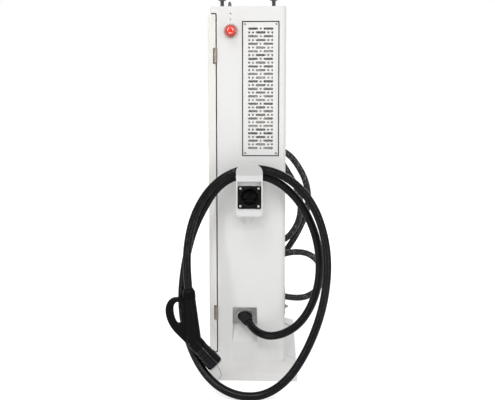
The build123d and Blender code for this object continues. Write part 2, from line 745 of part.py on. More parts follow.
KNUCKLE_GAP = 0.4
THIRD = HINGE_LENGTH / 3
with BuildPart() as hinge_leaves_body:
    for hinge_z in HINGE_ZS:
        low = hinge_z - HINGE_LENGTH / 2
        high = hinge_z + HINGE_LENGTH / 2
        box_between((-142, -139), (HINGE_Y, -264), (low, high))
        knuckle(low + THIRD - KNUCKLE_GAP, high - THIRD + KNUCKLE_GAP, KNUCKLE_R + 0.8, Mode.SUBTRACT)
        knuckle(low, low + THIRD - KNUCKLE_GAP)
        knuckle(high - THIRD + KNUCKLE_GAP, high)
        knuckle(low - 1, high + 1, PIN_R + 0.05, Mode.SUBTRACT)
save(hinge_leaves_body, "hinge_leaves_body")

with BuildPart() as hinge_leaves_door:
    for hinge_z in HINGE_ZS:
        low = hinge_z - HINGE_LENGTH / 2
        high = hinge_z + HINGE_LENGTH / 2
        box_between((-150.2, -147.2), (HINGE_Y, -264), (low, high))
        knuckle(low - 1, low + THIRD, KNUCKLE_R + 0.8, Mode.SUBTRACT)
        knuckle(high - THIRD, high + 1, KNUCKLE_R + 0.8, Mode.SUBTRACT)
        knuckle(low + THIRD, high - THIRD)
        knuckle(low - 1, high + 1, PIN_R + 0.05, Mode.SUBTRACT)
save(hinge_leaves_door, "hinge_leaves_door")

with BuildPart() as hinge_pins:
    for hinge_z in HINGE_ZS:
        knuckle(hinge_z - HINGE_LENGTH / 2, hinge_z + HINGE_LENGTH / 2, PIN_R)
        knuckle(hinge_z + HINGE_LENGTH / 2, hinge_z + HINGE_LENGTH / 2 + 2, PIN_R + 1.5)
save(hinge_pins, "hinge_pins")

# ---------------------------------------------------------------- door lock
with BuildPart() as lock_handle:
    with BuildSketch(Plane.YZ.offset(-180)):
        with Locations((LOCK_Y, LOCK_Z)):
            Circle(15)
    extrude(amount=-9)
    with BuildSketch(Plane.YZ.offset(-181)):
        with Locations((LOCK_Y, LOCK_Z - 50)):
            Rectangle(18, 100)
        with Locations((LOCK_Y, LOCK_Z - 100)):
            Circle(9)
    extrude(amount=-7)
    with BuildSketch(Plane.YZ.offset(-180)):
        with Locations((LOCK_Y, LOCK_Z)):
            Circle(6)
    extrude(amount=52)
save(lock_handle, "lock_handle")

with BuildPart() as lock_rosette:
    with BuildSketch(Plane.YZ.offset(DOOR_FACE_X)):
        with Locations((LOCK_Y, LOCK_Z - 40)):
            RectangleRounded(38, 138, 12)
        with Locations((LOCK_Y, LOCK_Z)):
            Circle(6.6, mode=Mode.SUBTRACT)
    extrude(amount=-4.5)
save(lock_rosette, "lock_rosette")

with BuildPart() as lock_cam:
    with BuildSketch(Plane.YZ.offset(-133)):
        with Locations((LOCK_Y, LOCK_Z)):
            Circle(14)
        with Locations((LOCK_Y, LOCK_Z + 24)):
            Rectangle(20, 48)
        with Locations((LOCK_Y, LOCK_Z)):
            Circle(6, mode=Mode.SUBTRACT)
    extrude(amount=4)
save(lock_cam, "lock_cam")

with BuildPart() as lock_rod_upper:
    box_between((-157, -154), (ROD_Y - 8, ROD_Y + 8), (LOCK_Z + 30, DOOR_Z1 - 3))
save(lock_rod_upper, "lock_rod_upper")
with BuildPart() as lock_rod_lower:
    box_between((-157, -154), (ROD_Y - 8, ROD_Y + 8), (DOOR_Z0 + 3, LOCK_Z - 30))
save(lock_rod_lower, "lock_rod_lower")

# ---------------------------------------------------------------- equipment inside
SHELF_Z = 908.0
PLATE_X = 62.0
UPRIGHT_X = (-112.0, 72.0)
UPRIGHT_Y = 216.0
UPRIGHT_LEG = 22.0
ANGLE_THICK = 3.0
TRAY_Z = 110.0
with BuildPart() as equipment_frame:
    # four angle uprights, each with its corner outwards
    for post_x in UPRIGHT_X:
        toward_x = 1 if post_x < 0 else -1
        wide_x = sorted((post_x, post_x + toward_x * UPRIGHT_LEG))
        thin_x = sorted((post_x, post_x + toward_x * ANGLE_THICK))
        for post_y in (-UPRIGHT_Y, UPRIGHT_Y):
            toward_y = 1 if post_y < 0 else -1
            wide_y = sorted((post_y, post_y + toward_y * UPRIGHT_LEG))
            thin_y = sorted((post_y, post_y + toward_y * ANGLE_THICK))
            box_between(wide_x, thin_y, (64, 1450))
            box_between(thin_x, wide_y, (64, 1450))
    # shelf, tray and mounting plate between the uprights
    inside_x = (UPRIGHT_X[0] + ANGLE_THICK + FIT_GAP, UPRIGHT_X[1] - ANGLE_THICK - FIT_GAP)
    inside_y = (-UPRIGHT_Y + ANGLE_THICK + FIT_GAP, UPRIGHT_Y - ANGLE_THICK - FIT_GAP)
    box_between(inside_x, inside_y, (SHELF_Z, SHELF_Z + 3))
    box_between(inside_x, inside_y, (TRAY_Z, TRAY_Z + 3))
    box_between((-80, 40), (-120, 120), (TRAY_Z - 1, TRAY_Z + 4), mode=Mode.SUBTRACT)
    box_between((PLATE_X, PLATE_X + 3), (-205, 205), (TRAY_Z + 3 + FIT_GAP, SHELF_Z - FIT_GAP))
save(equipment_frame, "equipment_frame")

MODULE_H = 86.0
MODULE_STEP = 95.0
with BuildPart() as power_modules:
    for level in range(4):
        base_z = SHELF_Z + 3 + level * MODULE_STEP
        box_between((-108, 68), (-195, 195), (base_z, base_z + MODULE_H))
save(power_modules, "power_modules")

with BuildPart() as breaker_body:
    box_between((-14, PLATE_X), (-60, 45), (600, 760))
    box_between((-15, 20), (-18, 3), (640, 720), mode=Mode.SUBTRACT)
save(breaker_body, "breaker_body")

LEVER_PIVOT_X = 2.0
with BuildPart() as breaker_lever:
    box_between((-38, LEVER_PIVOT_X), (-14, -1), (695, 710))
    with Locations(Location((LEVER_PIVOT_X, -7.5, 702.5), (90, 0, 0))):
        Cylinder(7.5, 13)
save(breaker_lever, "breaker_lever")

with BuildPart() as contactors:
    for contactor_y in (-150.0, 110.0):
        box_between((2, PLATE_X), (contactor_y, contactor_y + 62), (620, 720))
        for terminal in (14, 48):
            with Locations(Location((-4, contactor_y + terminal, 670), (0, 90, 0))):
                Cylinder(6, 12)
save(contactors, "contactors")

with BuildPart() as controller_board:
    box_between((PLATE_X - 14, PLATE_X - 12), (-140, 130), (380, 560))
    for stand_y in (-130.0, 120.0):
        for stand_z in (388.0, 548.0):
            box_between((PLATE_X - 12, PLATE_X), (stand_y - 4, stand_y + 4), (stand_z, stand_z + 8))
    box_between((PLATE_X - 34, PLATE_X - 14), (-60, 20), (440, 500))
    box_between((PLATE_X - 26, PLATE_X - 14), (50, 110), (400, 530))
save(controller_board, "controller_board")

with BuildPart() as fan_frames:
    for fan_z in FAN_ZS:
        box_between(FAN_X, (-FAN_SIZE / 2, FAN_SIZE / 2), (fan_z - FAN_SIZE / 2, fan_z + FAN_SIZE / 2))
        with Locations(Location(((FAN_X[0] + FAN_X[1]) / 2, 0, fan_z), (0, 90, 0))):
            Cylinder(80, 60, mode=Mode.SUBTRACT)
        for arm in (-1, 1):
            box_between((FAN_X[0], FAN_X[0] + 4), (-81, 81), (fan_z + arm * 20 - 4, fan_z + arm * 20 + 4))
        with Locations(Location((FAN_X[0] + 2, 0, fan_z), (0, 90, 0))):
            Cylinder(30, 4)
save(fan_frames, "fan_frames")

BLADES = 7
for fan_name, fan_z in zip(("fan_rotor_lower", "fan_rotor_upper"), FAN_ZS):
    with BuildPart() as rotor:
        with Locations(Location(((FAN_X[0] + FAN_X[1]) / 2 + 2.5, 0, fan_z), (0, 90, 0))):
            Cylinder(30, 29)
        for blade in range(BLADES):
            turn = 360 * blade / BLADES
            with Locations(Location(((FAN_X[0] + FAN_X[1]) / 2 + 2.5, 0, fan_z), (turn, 0, 0))):
                with Locations(Location((0, 0, 52), (0, 0, 35))):
                    Box(3, 30, 48)
    save(rotor, fan_name)

with BuildPart() as earth_stud:
    box_between((REAR_X, REAR_X + 3), (-216, -184), (241, 351))
    with Locations(Location((REAR_X + 3, -200, 272), (0, 90, 0))):
        Cylinder(4, 12, align=(Align.CENTER, Align.CENTER, Align.MIN))
        Cylinder(7.5, 6, align=(Align.CENTER, Align.CENTER, Align.MIN))
save(earth_stud, "earth_stud")

# ---------------------------------------------------------------- charging guns
# A gun is drawn with its elbow at the origin, its body up +Z and its nose turned down
# towards +X, then placed twice: hanging at the door side and plugged into the far holster.
NOSE = Plane(
    origin=(0, 0, 0),
    x_dir=(0, 1, 0),
    z_dir=(cos(radians(NOSE_ANGLE)), 0, -sin(radians(NOSE_ANGLE))),
)
GRIP_THICK = 31.0
GRIP_ROUND = 7.0
BODY_TOP = 170.0

GRIP_OUTLINE = [
    (-20, 168),
    (-44, 176),
    (-68, 174),
    (-87, 159),
    (-96, 131),
    (-93, 94),
    (-78, 57),
    (-45, 14),
    (-19, -20),
]
FINGER_HOLE = [
    (-35, 152),
    (-48, 160),
    (-61, 149),
    (-67, 122),
    (-64, 94),
    (-52, 74),
    (-40, 80),
    (-34, 106),
]
with BuildPart() as gun_grip:
    with BuildSketch(Plane.XZ.offset(-GRIP_THICK / 2)) as grip:
        with BuildLine():
            Spline(*GRIP_OUTLINE)
            Polyline(GRIP_OUTLINE[-1], (0, 0), (0, 160), GRIP_OUTLINE[0])
        make_face()
        with BuildSketch(mode=Mode.PRIVATE) as finger_hole:
            with BuildLine():
                Spline(*FINGER_HOLE, periodic=True)
            make_face()
        add(finger_hole.sketch, mode=Mode.SUBTRACT)
    extrude(amount=GRIP_THICK)
    fillet(gun_grip.faces().filter_by(Axis.Y).edges(), GRIP_ROUND)

with BuildPart() as gun_housing:
    with BuildSketch():
        Circle(31)
    with BuildSketch(Plane.XY.offset(BODY_TOP)):
        Circle(23.5)
    loft()
    Sphere(31)
    with BuildSketch(NOSE):
        Circle(30)
    extrude(amount=36)
    add(gun_grip.part)
    # flat seat for the clamp nut and a pocket for the trigger
    with Locations((0, 0, BODY_TOP)):
        Cylinder(27, 20, align=(Align.CENTER, Align.CENTER, Align.MIN), mode=Mode.SUBTRACT)
    box_between((-42, -15), (-6, 6), (90, 130), mode=Mode.SUBTRACT)

# the nose: two sleeves, a larger cup round the contacts and the contact block inside it
NOSE_OUTLINE = [
    (0, 36.2),
    (28, 36.2),
    (29, 37.5),
    (29, 55),
    (27.5, 56),
    (27.5, 58),
    (30.5, 59),
    (30.5, 75),
    (28, 76),
    (28, 78),
    (32, 78),
    (33, 79.5),
    (33, 124),
    (31.5, NOSE_LENGTH),
    (29.5, NOSE_LENGTH),
    (28.5, 125.5),
    (28.5, 82),
    (0, 82),
]
NOSE_SIDE = Plane(origin=(0, 0, 0), x_dir=NOSE.x_dir, z_dir=NOSE.x_dir.cross(NOSE.z_dir))
with BuildPart() as gun_nose:
    with BuildSketch(NOSE_SIDE) as nose_half:
        with BuildLine():
            Polyline(*NOSE_OUTLINE, close=True)
        make_face()
    revolve(nose_half.sketch, axis=Axis((0, 0, 0), NOSE.z_dir))
    with BuildSketch(NOSE.offset(81)) as contact_block:
        Circle(28.5)
        with Locations((-CONTACT_SPACING / 2, -6), (CONTACT_SPACING / 2, -6)):
            Circle(6, mode=Mode.SUBTRACT)
        with Locations((0, 14), (-12, 12), (12, 12)):
            Circle(3, mode=Mode.SUBTRACT)
    extrude(contact_block.sketch, amount=11)

# dust cap in the hanging gun's cup, with a stub for its cord
CAP_OUTLINE = [
    (0, 117),
    (28.2, 117),
    (28.2, NOSE_LENGTH + 0.2),
    (31.3, NOSE_LENGTH + 0.2),
    (31.3, 129),
    (29.5, 132),
    (24, 134.5),
    (14, 136),
    (4.5, 136.3),
    (4.5, 139.5),
    (3.5, 140.5),
    (0, 140.5),
]
with BuildPart() as gun_cap:
    with BuildSketch(NOSE_SIDE) as cap_half:
        with BuildLine():
            Polyline(*CAP_OUTLINE, close=True)
        make_face()
    revolve(cap_half.sketch, axis=Axis((0, 0, 0), NOSE.z_dir))

# clamp nut with four shallow grooves and a tapered end
NUT_R = 25.0
NUT_GROOVES = (175.0, 180.5, 186.0, 191.5)
nut_outline = [(0, BODY_TOP), (NUT_R - 1, BODY_TOP), (NUT_R, BODY_TOP + 1)]
for groove_z in NUT_GROOVES:
    nut_outline += [(NUT_R, groove_z), (NUT_R - 1.2, groove_z + 0.8)]
    nut_outline += [(NUT_R - 1.2, groove_z + 1.8), (NUT_R, groove_z + 2.6)]
nut_outline += [(NUT_R, 195), (NUT_R - 2, 197), (18.5, GUN_TAIL), (0, GUN_TAIL)]
with BuildPart() as gun_nut:
    with BuildSketch(Plane.XZ) as nut_half:
        with BuildLine():
            Polyline(*nut_outline, close=True)
        make_face()
    revolve(nut_half.sketch, axis=Axis.Z)

with BuildPart() as gun_trigger:
    box_between((-41, -22), (-5, 5), (92, 128))
    fillet(gun_trigger.edges().filter_by(Axis.Y).group_by(Axis.X)[0], 4)

GUN_TILT = radians(4.9)
HANGING_GUN = Plane(
    origin=(-221.5, -485.0, 215.4),
    x_dir=(cos(GUN_TILT), 0, sin(GUN_TILT)),
    z_dir=(-sin(GUN_TILT), 0, cos(GUN_TILT)),
)
INSERTED = 33.0
PLUG_TURN = radians(NOSE_ANGLE + SOCKET_TILT)
PLUGGED_GUN = Plane(
    origin=(
        HOLSTER_X,
        -SOCKET_ORIGIN[1] + (NOSE_LENGTH - INSERTED + FLANGE_THICK) * cos(TILT),
        SOCKET_ORIGIN[2] + (NOSE_LENGTH - INSERTED + FLANGE_THICK) * sin(TILT),
    ),
    x_dir=(0, -cos(PLUG_TURN), -sin(PLUG_TURN)),
    z_dir=(0, sin(PLUG_TURN), -cos(PLUG_TURN)),
)
for side_name, place in (("right", HANGING_GUN), ("left", PLUGGED_GUN)):
    for piece_name, piece in (
        ("housing", gun_housing),
        ("nose", gun_nose),
        ("nut", gun_nut),
        ("trigger", gun_trigger),
    ):
        with BuildPart() as placed:
            add(piece.part.moved(place.location))
        save(placed, f"gun_{side_name}_{piece_name}")
with BuildPart() as hanging_cap:
    add(gun_cap.part.moved(HANGING_GUN.location))
save(hanging_cap, "gun_right_cap")

# ---------------------------------------------------------------- charging cables


def boot_way(side, beyond):
    """A point on a boot's axis, this far beyond its tip."""
    point = NECK_PLANE.origin + NECK_PLANE.z_dir * (NECK_LENGTH + beyond)
    return (point.X, -side * point.Y, point.Z)


def gun_tail(place):
    """Where a cable enters its gun."""
    tail = place.origin + place.z_dir * GUN_TAIL
    return (tail.X, tail.Y, tail.Z)


NEAR_ROUTE = [
    boot_way(-1, 0),
    boot_way(-1, 40),
    (38, -372, 207),
    (80, -392, 203),
    (138, -402, 220),
    (200, -398, 262),
    (250, -392, 345),
    (277, -385, 455),
    (266, -378, 598),
    (210, -372, 728),
    (134, -370, 812),
    (52, -368, 853),
    (-60, -368, 855),
    (-138, -374, 804),
    (-190, -380, 720),
    (-236, -388, 620),
    (-264, -404, 495),
    (-276, -418, 370),
    (-264, -430, 250),
    (-222, -458, 138),
    (-150, -512, 58),
    (-54, -546, 18),
    (52, -548, 18),
    (146, -542, 80),
    (220, -525, 192),
    (278, -495, 335),
    (303, -455, 485),
    (292, -425, 620),
    (244, -408, 748),
    (160, -400, 842),
    (50, -398, 885),
    (-62, -398, 877),
    (-158, -406, 812),
    (-222, -426, 705),
    (-246, -450, 595),
    (-246, -485, 500),
    gun_tail(HANGING_GUN),
]

FAR_ROUTE = [
    boot_way(1, 0),
    boot_way(1, 40),
    (32, 368, 202),
    (82, 382, 172),
    (160, 380, 145),
    (255, 374, 145),
    (328, 376, 198),
    (342, 382, 300),
    (275, 385, 378),
    (170, 382, 384),
    (80, 376, 346),
    (0, 368, 332),
    (-85, 364, 370),
    (-135, 362, 460),
    (-150, 362, 580),
    (-150, 364, 680),
    (-125, 367, 775),
    (-72, 368, 850),
    (5, 368, 900),
    (95, 368, 915),
    (163, 373, 884),
    (212, 384, 822),
    (254, 405, 740),
    (270, 425, 620),
    (225, 440, 490),
    (150, 452, 365),
    (70, 460, 275),
    (-20, 462, 255),
    (-100, 450, 312),
    (-140, 432, 425),
    (-160, 415, 540),
    (-178, 405, 650),
    (-184, 402, 757),
    (-150, 402, 850),
    (-72, 402, 912),
    (25, 402, 918),
    (108, 400, 868),
    (155, 397, 797),
    (216, 392, 695),
    (230, 390, 570),
    (180, 405, 465),
    (110, 465, 410),
    (55, 548, 385),
    (10, 631, 373),
    (-5, 711, 381),
    (-5, 773, 419),
    (-5, 814, 479),
    (-5, 826, 551),
    (-5, 806, 622),
    (-5, 758, 677),
    gun_tail(PLUGGED_GUN),
]


def cable(route, name):
    """A cable's tube along straight runs joined by large arcs; prints its radii and length."""
    points = [Vector(*point) for point in route]
    runs = [(points[i + 1] - points[i]).length for i in range(len(points) - 1)]
    radii = []
    for i in range(1, len(points) - 1):
        turn = (points[i] - points[i - 1]).get_angle(points[i + 1] - points[i])
        radii.append(0.45 * min(runs[i - 1], runs[i]) / tan(radians(turn) / 2))
    with BuildPart() as tube:
        with BuildLine() as path:
            FilletPolyline(*points, radius=radii)
        with BuildSketch(Plane(origin=points[0], z_dir=points[1] - points[0])):
            Circle(CABLE_R)
        sweep()
    length = path.wires()[0].length
    print(name, "radii", [round(radius) for radius in radii])
    print(name, "runs", [round(run) for run in runs])
    print(name, "length", round(length), "volume share", tube.part.volume / (pi * CABLE_R**2 * length))
    save(tube, name)


cable(NEAR_ROUTE, "charging_cable_right")
cable(FAR_ROUTE, "charging_cable_left")
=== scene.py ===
import json
import math

import bmesh
import bpy
from mathutils import Matrix, Vector


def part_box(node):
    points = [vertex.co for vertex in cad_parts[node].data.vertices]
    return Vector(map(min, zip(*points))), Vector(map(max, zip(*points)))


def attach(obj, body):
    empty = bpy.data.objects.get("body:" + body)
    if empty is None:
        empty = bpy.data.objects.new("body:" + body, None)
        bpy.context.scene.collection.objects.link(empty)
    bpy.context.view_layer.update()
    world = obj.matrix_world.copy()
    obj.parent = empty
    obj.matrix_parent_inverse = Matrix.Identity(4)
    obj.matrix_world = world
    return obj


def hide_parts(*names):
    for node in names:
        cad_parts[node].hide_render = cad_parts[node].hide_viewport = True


# Looks of the charging post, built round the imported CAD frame. Metres, +Z up, door towards -X.
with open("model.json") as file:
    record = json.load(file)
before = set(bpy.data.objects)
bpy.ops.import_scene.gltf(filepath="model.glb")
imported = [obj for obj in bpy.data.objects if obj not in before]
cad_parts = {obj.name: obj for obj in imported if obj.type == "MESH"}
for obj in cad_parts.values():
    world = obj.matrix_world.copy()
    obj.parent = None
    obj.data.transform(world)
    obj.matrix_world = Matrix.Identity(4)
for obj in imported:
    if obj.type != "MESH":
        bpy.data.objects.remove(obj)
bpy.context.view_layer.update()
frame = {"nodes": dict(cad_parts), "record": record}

# ---------------------------------------------------------------- camera
CAMERA_PLACE = (0.095, -3.128, 1.147)
CAMERA_YAW = 2.27
CAMERA_PITCH = 6.05
CAMERA_LENS = 50.909
CAMERA_SENSOR = 36.0
CAMERA_SHIFT_Y = -0.0505

camera_data = bpy.data.cameras.new("camera")
camera_data.lens = CAMERA_LENS
camera_data.sensor_width = CAMERA_SENSOR
camera_data.shift_y = CAMERA_SHIFT_Y
camera = bpy.data.objects.new("camera", camera_data)
camera.location = CAMERA_PLACE
camera.rotation_euler = (math.radians(90 - CAMERA_PITCH), 0, math.radians(CAMERA_YAW))
bpy.context.scene.collection.objects.link(camera)
bpy.context.scene.camera = camera

# ---------------------------------------------------------------- cables
CABLE_DIAMETER = 0.032
NEAR_POINTS = [
    (-0.0125, -0.3108, 0.2356),
    (0.0062, -0.3418, 0.2188),
    (0.038, -0.372, 0.207),
    (0.080, -0.392, 0.203),
    (0.138, -0.402, 0.220),
    (0.200, -0.398, 0.262),
    (0.250, -0.392, 0.345),
    (0.277, -0.385, 0.455),
    (0.266, -0.378, 0.598),
    (0.210, -0.372, 0.728),
    (0.134, -0.370, 0.812),
    (0.052, -0.368, 0.853),
    (-0.060, -0.368, 0.855),
    (-0.138, -0.374, 0.804),
    (-0.190, -0.380, 0.720),
    (-0.236, -0.388, 0.620),
    (-0.264, -0.404, 0.495),
    (-0.276, -0.418, 0.370),
    (-0.264, -0.430, 0.250),
    (-0.222, -0.458, 0.138),
    (-0.150, -0.512, 0.058),
    (-0.054, -0.546, 0.018),
    (0.052, -0.548, 0.018),
    (0.146, -0.542, 0.080),
    (0.220, -0.525, 0.192),
    (0.278, -0.495, 0.335),
    (0.303, -0.455, 0.485),
    (0.292, -0.425, 0.620),
    (0.244, -0.408, 0.748),
    (0.160, -0.400, 0.842),
    (0.050, -0.398, 0.885),
    (-0.062, -0.398, 0.877),
    (-0.158, -0.406, 0.812),
    (-0.222, -0.426, 0.705),
    (-0.246, -0.450, 0.595),
    (-0.246, -0.485, 0.500),
    (-0.2393, -0.485, 0.4226),
]
FAR_POINTS = [
    (-0.0125, 0.3108, 0.2356),
    (0.0062, 0.3418, 0.2188),
    (0.032, 0.368, 0.202),
    (0.082, 0.382, 0.172),
    (0.160, 0.380, 0.145),
    (0.255, 0.374, 0.145),
    (0.328, 0.376, 0.198),
    (0.342, 0.382, 0.300),
    (0.275, 0.385, 0.378),
    (0.170, 0.382, 0.384),
    (0.080, 0.376, 0.346),
    (0.0, 0.368, 0.332),
    (-0.085, 0.364, 0.370),
    (-0.135, 0.362, 0.460),
    (-0.150, 0.362, 0.580),
    (-0.150, 0.364, 0.680),
    (-0.125, 0.367, 0.775),
    (-0.072, 0.368, 0.850),
    (0.005, 0.368, 0.900),
    (0.095, 0.368, 0.915),
    (0.163, 0.373, 0.884),
    (0.212, 0.384, 0.822),
    (0.254, 0.405, 0.740),
    (0.270, 0.425, 0.620),
    (0.225, 0.440, 0.490),
    (0.150, 0.452, 0.365),
    (0.070, 0.460, 0.275),
    (-0.020, 0.462, 0.255),
    (-0.100, 0.450, 0.312),
    (-0.140, 0.432, 0.425),
    (-0.160, 0.415, 0.540),
    (-0.178, 0.405, 0.650),
    (-0.184, 0.402, 0.757),
    (-0.150, 0.402, 0.850),
    (-0.072, 0.402, 0.912),
    (0.025, 0.402, 0.918),
    (0.108, 0.400, 0.868),
    (0.155, 0.397, 0.797),
    (0.216, 0.392, 0.695),
    (0.230, 0.390, 0.570),
    (0.180, 0.405, 0.465),
    (0.110, 0.465, 0.410),
    (0.055, 0.548, 0.385),
    (0.010, 0.631, 0.373),
    (-0.005, 0.711, 0.381),
    (-0.005, 0.773, 0.419),
    (-0.005, 0.814, 0.479),
    (-0.005, 0.826, 0.551),
    (-0.005, 0.806, 0.622),
    (-0.005, 0.758, 0.677),
    (-0.005, 0.6915, 0.7066),
]


# ---------------------------------------------------------------- node material helpers
class Shader:
    """A small node graph for one material, in object coordinates (metres)."""

    def __init__(self, name):
        self.material = bpy.data.materials.new(name)
        self.material.use_nodes = True
        self.tree = self.material.node_tree
        self.bsdf = self.tree.nodes["Principled BSDF"]
        self.coords = self.tree.nodes.new("ShaderNodeTexCoord").outputs["Object"]
        self.height = None

    def node(self, kind, inputs=None, **settings):
        made = self.tree.nodes.new(kind)
        for key, value in settings.items():
            setattr(made, key, value)
        for key, value in (inputs or {}).items():
            if isinstance(value, bpy.types.NodeSocket):
                self.tree.links.new(value, made.inputs[key])
            else:
                made.inputs[key].default_value = value
        return made

    def stretched(self, scale):
        return self.node("ShaderNodeMapping", {"Vector": self.coords, "Scale": scale}).outputs["Vector"]

    def noise(self, scale, detail=3.0, roughness=0.5, vector=None, distortion=0.0):
        inputs = {
            "Vector": vector or self.coords,
            "Scale": scale,
            "Detail": detail,
            "Roughness": roughness,
            "Distortion": distortion,
        }
        return self.node("ShaderNodeTexNoise", inputs).outputs["Fac"]

    def cells(self, scale, vector=None, feature="F1"):
        inputs = {"Vector": vector or self.coords, "Scale": scale}
        return self.node("ShaderNodeTexVoronoi", inputs, feature=feature).outputs["Distance"]

    def spread(self, value, low, high, out_low=0.0, out_high=1.0):
        inputs = {"Value": value, "From Min": low, "From Max": high, "To Min": out_low, "To Max": out_high}
        return self.node("ShaderNodeMapRange", inputs).outputs["Result"]

    def math(self, operation, first, second):
        made = self.node("ShaderNodeMath", operation=operation)
        for socket, value in zip(made.inputs, (first, second)):
            if isinstance(value, bpy.types.NodeSocket):
                self.tree.links.new(value, socket)
            else:
                socket.default_value = value
        return made.outputs[0]

    def blend(self, factor, first, second):
        made = self.node("ShaderNodeMix", data_type="RGBA")
        sockets = (made.inputs[0], made.inputs[6], made.inputs[7])
        for socket, value in zip(sockets, (factor, first, second)):
            if isinstance(value, bpy.types.NodeSocket):
                self.tree.links.new(value, socket)
            elif isinstance(value, tuple):
                socket.default_value = (*value, 1.0)
            else:
                socket.default_value = value
        return made.outputs[2]

    def set(self, **values):
        for key, value in values.items():
            socket = self.bsdf.inputs[key.replace("_", " ")]
            if isinstance(value, bpy.types.NodeSocket):
                self.tree.links.new(value, socket)
            elif isinstance(value, tuple):
                socket.default_value = (*value, 1.0)
            else:
                socket.default_value = value

    def bump(self, height, distance, strength=1.0):
        inputs = {"Height": height, "Distance": distance, "Strength": strength}
        if self.height is not None:
            inputs["Normal"] = self.height
        self.height = self.node("ShaderNodeBump", inputs).outputs["Normal"]
        self.tree.links.new(self.height, self.bsdf.inputs["Normal"])


def tint(colour, factor):
    """A colour made lighter or darker by a factor."""
    return tuple(min(1.0, channel * factor) for channel in colour)


def powder_coat(name, colour, roughness=0.42, dirt=0.04):
    """Fine textured powder coat with faint clouding and dust near the ground."""
    shader = Shader(name)
    cloud = shader.spread(shader.noise(5.0, 4.0), 0.3, 0.7)
    speck = shader.spread(shader.noise(1400.0, 2.0), 0.35, 0.65)
    base = shader.blend(cloud, tint(colour, 0.975), tint(colour, 1.015))
    grain = shader.blend(speck, tint(colour, 0.97), tint(colour, 1.02))
    mixed = shader.blend(0.4, base, grain)
    height = shader.node("ShaderNodeSeparateXYZ", {"Vector": shader.coords}).outputs["Z"]
    low = shader.spread(height, 0.0, 0.5, 1.0, 0.0)
    streak = shader.spread(shader.noise(9.0, 5.0, vector=shader.stretched((6.0, 6.0, 0.6))), 0.45, 0.75)
    dust = shader.math("MULTIPLY", shader.math("MULTIPLY", low, streak), dirt * 4)
    shader.set(Base_Color=shader.blend(dust, mixed, tint(colour, 0.72)))
    shader.set(Roughness=shader.spread(cloud, 0.0, 1.0, roughness - 0.03, roughness + 0.05))
    shader.set(Specular_IOR_Level=0.4)
    shader.bump(shader.noise(900.0, 2.0), 0.00012, 0.5)
    shader.bump(shader.noise(3.0, 2.0), 0.0006, 0.3)
    return shader.material


def bare_metal(name, colour, roughness=0.35, stretch=(1.0, 1.0, 14.0), spangle=0.0, rust=0.0):
    """Zinc or steel with a drawn grain, cloudy patches and, if wanted, spangles or brown staining."""
    shader = Shader(name)
    grain = shader.noise(260.0, 3.0, vector=shader.stretched(stretch))
    cloud = shader.spread(shader.noise(38.0, 5.0), 0.3, 0.7)
    base = shader.blend(cloud, tint(colour, 0.82), tint(colour, 1.12))
    if spangle:
        flakes = shader.spread(shader.cells(170.0), 0.0, 0.8)
        base = shader.blend(shader.math("MULTIPLY", flakes, spangle), base, tint(colour, 1.35))
    if rust:
        stain = shader.spread(shader.noise(75.0, 6.0, 0.65), 0.5, 0.72)
        base = shader.blend(shader.math("MULTIPLY", stain, rust), base, (0.24, 0.12, 0.06))
    shader.set(Base_Color=base, Metallic=0.9)
    shader.set(Roughness=shader.spread(grain, 0.3, 0.7, roughness - 0.08, roughness + 0.12))
    shader.bump(grain, 0.00008, 0.6)
    return shader.material


def moulded(name, colour, roughness=0.5, grain=0.5, coat=0.0, scale=1100.0, specular=0.16):
    """Moulded plastic or rubber with a fine spark-eroded grain and faint handling marks."""
    shader = Shader(name)
    marks = shader.spread(shader.noise(60.0, 6.0, 0.6), 0.4, 0.75)
    pits = shader.cells(scale)
    base = shader.blend(marks, colour, tint(colour, 1.5))
    shader.set(Base_Color=base, Coat_Weight=coat, Coat_Roughness=0.12, Specular_IOR_Level=specular)
    shader.set(Roughness=shader.spread(marks, 0.0, 1.0, roughness - 0.05, roughness + 0.1))
    shader.bump(pits, 0.00006, grain)
    shader.bump(shader.noise(30.0, 3.0), 0.0003, 0.2)
    return shader.material


def cable_sheath(name):
    """Smooth black sheath, slightly dusty, with a fine grain and faint scuffs."""
    shader = Shader(name)
    dust = shader.spread(shader.noise(24.0, 6.0, 0.6), 0.42, 0.8)
    scuff = shader.spread(shader.noise(220.0, 4.0, 0.6), 0.62, 0.75)
    base = shader.blend(dust, (0.0025, 0.0025, 0.003), (0.006, 0.006, 0.0065))
    shader.set(Base_Color=shader.blend(scuff, base, (0.018, 0.018, 0.019)))
    shader.set(Roughness=shader.spread(dust, 0.0, 1.0, 0.23, 0.32), Specular_IOR_Level=0.2)
    shader.bump(shader.noise(700.0, 3.0), 0.00008, 0.6)
    shader.bump(shader.noise(55.0, 2.0), 0.0005, 0.35)
    return shader.material


def film_wrap(name):
    """Black sheath wound in clear film: glossy and wrinkled, with near-white painted highlights along its
    creases.
    """
    shader = Shader(name)
    warp = shader.noise(55.0, 5.0, 0.65, distortion=1.6)
    folds = shader.cells(95.0, vector=shader.stretched((1.0, 1.0, 0.45)), feature="DISTANCE_TO_EDGE")
    crease = shader.spread(folds, 0.0, 0.045, 1.0, 0.0)
    # The near-white streaks blended into the base colour along the creases are painted highlights, glints of
    # the film.
    crease_painted_glint = shader.math("MULTIPLY", crease, shader.spread(warp, 0.52, 0.66))
    base = shader.blend(shader.spread(warp, 0.3, 0.8), (0.005, 0.005, 0.006), (0.024, 0.024, 0.026))
    shader.set(Base_Color=shader.blend(crease_painted_glint, base, (0.70, 0.70, 0.71)), Specular_IOR_Level=0.3)
    shader.set(Roughness=shader.spread(warp, 0.3, 0.7, 0.12, 0.3), Coat_Weight=0.25, Coat_Roughness=0.08)
    shader.bump(warp, 0.004, 0.55)
    shader.bump(folds, 0.0012, 0.5)
    return shader.material


